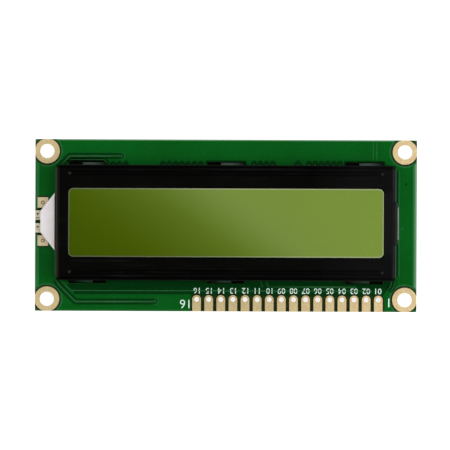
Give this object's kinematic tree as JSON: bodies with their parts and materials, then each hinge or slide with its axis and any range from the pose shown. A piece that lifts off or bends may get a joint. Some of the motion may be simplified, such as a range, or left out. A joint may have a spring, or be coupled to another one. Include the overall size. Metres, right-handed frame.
{
  "type": "character lcd module",
  "caption": "Character display module: a green circuit board that carries a black bezel over a yellow-green window, with a row of plated header holes and an edge lamp.",
  "frame": {"origin": "centre of the four mounting holes, on the board's rear face", "axes": "+X along the long side towards pin 1, +Y away from the header row, +Z out of the display face"},
  "size_m": [0.08, 0.036, 0.0103],
  "materials": {
    "green_laminate": "glass-fibre laminate under glossy green solder mask",
    "gold_plating": "flash gold over nickel and copper",
    "solder": "tinned, satin",
    "masked_copper": "copper under solder mask",
    "black_steel": "folded steel sheet, baked black satin",
    "white_film": "white polyester film",
    "milky_acrylic": "moulded acrylic, milky",
    "lamp_body": "white moulded body with clear lens",
    "rear_polarizer_film": "reflective polariser film",
    "cell_glass": "float glass",
    "front_polarizer_film": "glossy polariser over yellow-green twisted cell",
    "clear_resin": "cured resin",
    "silicone_rubber": "translucent silicone",
    "conducting_rubber": "carbon-loaded silicone layers",
    "black_epoxy": "chip-sealing resin, semi-gloss",
    "resistor_ceramic": "black-coated alumina",
    "capacitor_ceramic": "tan sintered ceramic"
  },
  "bodies": {
    "root": {"circuit_board": "green_laminate", "mounting_hole_lands": "gold_plating", "header_pads": "gold_plating", "lamp_pads": "gold_plating", "square_pads": "gold_plating", "square_pad_plugs": "solder", "via_plugs": "masked_copper", "bezel": "black_steel", "reflector_sheet": "white_film", "light_guide": "milky_acrylic", "diffuser_film": "white_film", "backlight_lamp": "lamp_body", "lamp_leads": "solder", "rear_polarizer": "rear_polarizer_film", "rear_glass": "cell_glass", "front_glass": "cell_glass", "front_polarizer": "front_polarizer_film", "fill_port_plug": "clear_resin", "contact_strip_upper": "silicone_rubber", "contact_strip_lower": "silicone_rubber", "strip_core_upper": "conducting_rubber", "strip_core_lower": "conducting_rubber", "contact_row_upper": "gold_plating", "contact_row_lower": "gold_plating", "controller_seal": "black_epoxy", "driver_seal": "black_epoxy", "resistor_bodies": "resistor_ceramic", "resistor_caps": "solder", "capacitor_bodies": "capacitor_ceramic", "capacitor_caps": "solder"}
  },
  "joints": []
}
